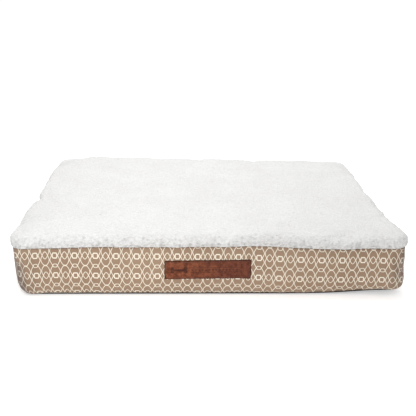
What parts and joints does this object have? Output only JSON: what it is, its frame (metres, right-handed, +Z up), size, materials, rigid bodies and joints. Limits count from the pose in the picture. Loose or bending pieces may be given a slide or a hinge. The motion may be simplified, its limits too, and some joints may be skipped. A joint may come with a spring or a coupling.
{
  "type": "pet cushion bed",
  "caption": "Rectangular orthopaedic pet bed with a pile-fleece top, a printed side band, a leather patch, a dark non-slip base and a zipped back over a foam core.",
  "frame": {"origin": "middle of the underside, on the surface that the grip dots rest on", "axes": "+X to the right along the long front that carries the patch, +Y towards the zipped back, +Z up"},
  "size_m": [0.914, 0.686, 0.15],
  "materials": {
    "fleece": "matte",
    "printed_cloth": "matte",
    "base_cloth": "matte",
    "grip_rubber": "satin",
    "binding_tape": "matte",
    "patch_leather": "satin",
    "patch_thread": "satin",
    "label_satin": "satin",
    "zip_tape": "matte",
    "zip_coil": "satin",
    "zip_metal": "satin",
    "cover_thread": "satin",
    "liner_film": "matte",
    "support_foam": "matte",
    "crate_foam": "matte",
    "wadding": "matte"
  },
  "bodies": {
    "bed": {"fleece_top": "fleece", "boxing_strip": "printed_cloth", "back_strip_upper": "printed_cloth", "back_strip_lower": "printed_cloth", "bottom_panel": "base_cloth", "grip_dots": "grip_rubber", "top_seam_binding": "binding_tape", "bottom_seam_binding": "binding_tape", "leather_patch": "patch_leather", "patch_stitching": "patch_thread", "care_label": "label_satin", "zipper_tape_upper": "zip_tape", "zipper_tape_lower": "zip_tape", "zipper_coil_upper": "zip_coil", "zipper_coil_lower": "zip_coil", "zipper_stops": "zip_metal", "zipper_end_tabs": "printed_cloth", "zipper_topstitching": "cover_thread", "inner_liner": "liner_film", "foam_base": "support_foam", "foam_egg_crate": "crate_foam", "fibre_wadding": "wadding"},
    "slider": {"zipper_slider": "zip_metal"},
    "pull_tab": {"zipper_pull_tab": "zip_metal"}
  },
  "joints": [
    {"name": "zip_travel", "type": "slide", "parent": "bed", "child": "slider", "axis": [1, 0, 0], "range_m": [0, 0.752]},
    {"name": "pull_tab_flip", "type": "hinge", "parent": "slider", "child": "pull_tab", "pos_m": [-0.376, 0.34, 0.0639], "axis": [0, 0, -1], "range_deg": [0, 180]}
  ]
}
